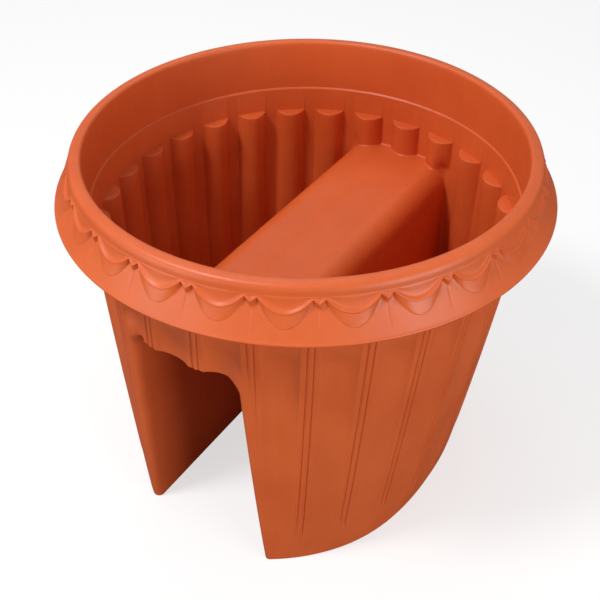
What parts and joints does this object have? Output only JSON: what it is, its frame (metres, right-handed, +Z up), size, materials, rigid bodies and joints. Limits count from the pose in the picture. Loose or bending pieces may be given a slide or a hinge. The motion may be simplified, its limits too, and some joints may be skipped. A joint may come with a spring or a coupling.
{
  "type": "railing planter",
  "caption": "Round plastic pot with a festooned overhanging rim, fluted wall and two hollow legs that straddle a balcony rail; plugs lift out of the drain holes in its legs.",
  "frame": {"origin": "on the ground under the centre of the pot, between the two legs", "axes": "+Z up, the rail channel runs along Y, the legs stand at -X and +X"},
  "size_m": [0.4, 0.4, 0.32],
  "materials": {
    "terracotta_plastic": "satin moulded terracotta-coloured plastic",
    "plug_plastic": "satin moulded plastic, a shade darker"
  },
  "bodies": {
    "pot": {"planter_shell": "terracotta_plastic"},
    "drain_plug_left_near": {"drain_plug_left_near": "plug_plastic"},
    "drain_plug_left_far": {"drain_plug_left_far": "plug_plastic"},
    "drain_plug_right_near": {"drain_plug_right_near": "plug_plastic"},
    "drain_plug_right_far": {"drain_plug_right_far": "plug_plastic"}
  },
  "joints": [
    {"name": "plug_left_near_lift", "type": "slide", "parent": "pot", "child": "drain_plug_left_near", "axis": [0, 0, 1], "range_m": [0, 0.33]},
    {"name": "plug_left_far_lift", "type": "slide", "parent": "pot", "child": "drain_plug_left_far", "axis": [0, 0, 1], "range_m": [0, 0.33]},
    {"name": "plug_right_near_lift", "type": "slide", "parent": "pot", "child": "drain_plug_right_near", "axis": [0, 0, 1], "range_m": [0, 0.33]},
    {"name": "plug_right_far_lift", "type": "slide", "parent": "pot", "child": "drain_plug_right_far", "axis": [0, 0, 1], "range_m": [0, 0.33]}
  ]
}
